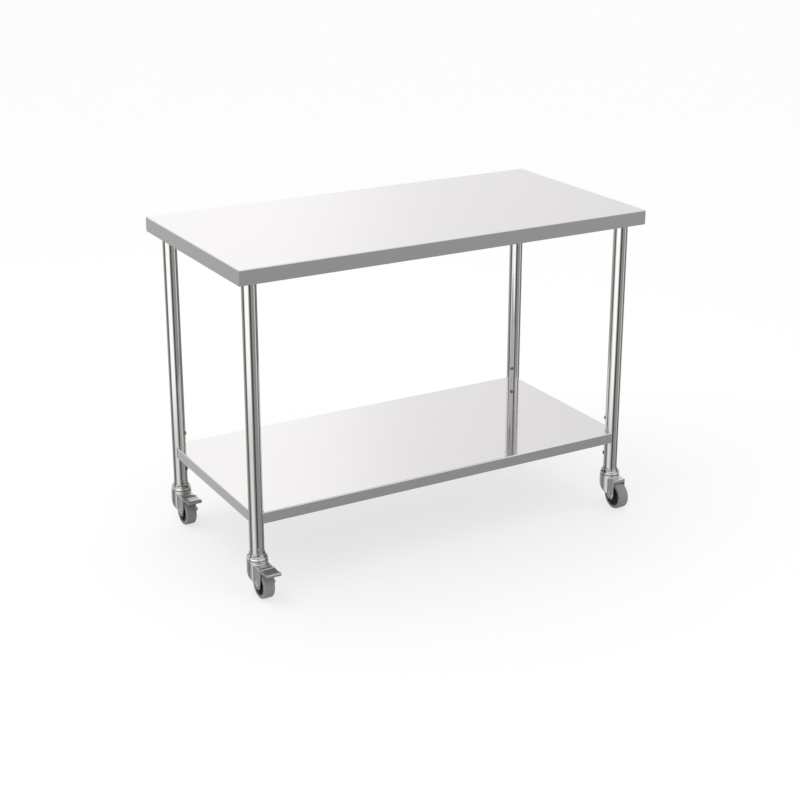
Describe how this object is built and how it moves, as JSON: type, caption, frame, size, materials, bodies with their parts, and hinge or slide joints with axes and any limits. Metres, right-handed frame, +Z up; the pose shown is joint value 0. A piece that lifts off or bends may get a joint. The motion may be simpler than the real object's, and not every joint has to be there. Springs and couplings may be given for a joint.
{
  "type": "work table",
  "caption": "Wheeled stainless work table: folded worktop and under-shelf on round tube legs, with swivel casters, part of them braked.",
  "frame": {"origin": "on the floor, under the middle of the table's bounding box, which takes in the pedals that reach past the front edge", "axes": "+X along the worktop, +Y to the back, +Z up"},
  "size_m": [1.2, 0.653, 0.87],
  "materials": {
    "satin_sheet": "fine satin stainless steel",
    "mirror_sheet": "polished stainless steel",
    "folded_channel": "mill finish stainless steel",
    "socket_steel": "plain steel",
    "socket_screw": "turned steel",
    "polished_tube": "mirror polished stainless tube",
    "bright_cap": "bright pressed steel",
    "plated_steel": "zinc plated steel",
    "die_cast": "silver painted zinc casting",
    "pressed_pedal": "plated pressed steel",
    "spring_wire": "spring wire",
    "black_plastic": "moulded polypropylene",
    "grey_rubber": "grey non-marking rubber"
  },
  "bodies": {
    "table": {"worktop": "satin_sheet", "worktop_channels": "folded_channel", "worktop_end_channels": "folded_channel", "leg_sockets": "socket_steel", "socket_screws": "socket_screw", "upper_leg_front_left": "polished_tube", "upper_leg_front_right": "polished_tube", "upper_leg_back_left": "polished_tube", "upper_leg_back_right": "polished_tube", "lower_leg_front_left": "polished_tube", "lower_leg_front_right": "polished_tube", "lower_leg_back_left": "polished_tube", "lower_leg_back_right": "polished_tube", "leg_sleeves": "socket_steel", "leg_screws": "socket_screw", "shelf": "mirror_sheet", "shelf_rings": "polished_tube", "shelf_channel": "folded_channel", "cone_collars": "polished_tube", "swivel_caps": "bright_cap", "king_bolts": "plated_steel", "stem_plugs": "black_plastic", "stem_nuts": "plated_steel"},
    "swivel_front_left": {"fork_front_left": "die_cast", "swivel_balls_front_left": "plated_steel", "axle_bolt_front_left": "plated_steel", "axle_nut_front_left": "plated_steel", "axle_spacer_front_left": "plated_steel", "pedal_pin_front_left": "plated_steel", "brake_spring_front_left": "spring_wire"},
    "wheel_front_left": {"hub_front_left": "black_plastic", "tyre_front_left": "grey_rubber"},
    "swivel_front_right": {"fork_front_right": "die_cast", "swivel_balls_front_right": "plated_steel", "axle_bolt_front_right": "plated_steel", "axle_nut_front_right": "plated_steel", "axle_spacer_front_right": "plated_steel"},
    "wheel_front_right": {"hub_front_right": "black_plastic", "tyre_front_right": "grey_rubber"},
    "swivel_back_left": {"fork_back_left": "die_cast", "swivel_balls_back_left": "plated_steel", "axle_bolt_back_left": "plated_steel", "axle_nut_back_left": "plated_steel", "axle_spacer_back_left": "plated_steel", "pedal_pin_back_left": "plated_steel", "brake_spring_back_left": "spring_wire"},
    "wheel_back_left": {"hub_back_left": "black_plastic", "tyre_back_left": "grey_rubber"},
    "swivel_back_right": {"fork_back_right": "die_cast", "swivel_balls_back_right": "plated_steel", "axle_bolt_back_right": "plated_steel", "axle_nut_back_right": "plated_steel", "axle_spacer_back_right": "plated_steel"},
    "wheel_back_right": {"hub_back_right": "black_plastic", "tyre_back_right": "grey_rubber"},
    "brake_front_left": {"pedal_front_left": "pressed_pedal"},
    "brake_back_left": {"pedal_back_left": "pressed_pedal"}
  },
  "joints": [
    {"name": "swivel_turn_front_left", "type": "hinge", "parent": "table", "child": "swivel_front_left", "pos_m": [-0.5545, -0.2265, 0.093], "axis": [0, 0, 1], "continuous": true},
    {"name": "wheel_spin_front_left", "type": "hinge", "parent": "swivel_front_left", "child": "wheel_front_left", "pos_m": [-0.5545, -0.2625, 0.0375], "axis": [1, 0, 0], "continuous": true},
    {"name": "swivel_turn_front_right", "type": "hinge", "parent": "table", "child": "swivel_front_right", "pos_m": [0.5545, -0.2265, 0.093], "axis": [0, 0, 1], "continuous": true},
    {"name": "wheel_spin_front_right", "type": "hinge", "parent": "swivel_front_right", "child": "wheel_front_right", "pos_m": [0.5545, -0.2625, 0.0375], "axis": [1, 0, 0], "continuous": true},
    {"name": "swivel_turn_back_left", "type": "hinge", "parent": "table", "child": "swivel_back_left", "pos_m": [-0.5545, 0.2795, 0.093], "axis": [0, 0, 1], "continuous": true},
    {"name": "wheel_spin_back_left", "type": "hinge", "parent": "swivel_back_left", "child": "wheel_back_left", "pos_m": [-0.5545, 0.2435, 0.0375], "axis": [1, 0, 0], "continuous": true},
    {"name": "swivel_turn_back_right", "type": "hinge", "parent": "table", "child": "swivel_back_right", "pos_m": [0.5545, 0.2795, 0.093], "axis": [0, 0, 1], "continuous": true},
    {"name": "wheel_spin_back_right", "type": "hinge", "parent": "swivel_back_right", "child": "wheel_back_right", "pos_m": [0.5545, 0.2435, 0.0375], "axis": [1, 0, 0], "continuous": true},
    {"name": "pedal_press_front_left", "type": "hinge", "parent": "swivel_front_left", "child": "brake_front_left", "pos_m": [-0.5545, -0.2765, 0.08], "axis": [1, 0, 0], "range_deg": [0, 18]},
    {"name": "pedal_press_back_left", "type": "hinge", "parent": "swivel_back_left", "child": "brake_back_left", "pos_m": [-0.5545, 0.2295, 0.08], "axis": [1, 0, 0], "range_deg": [0, 18]}
  ]
}
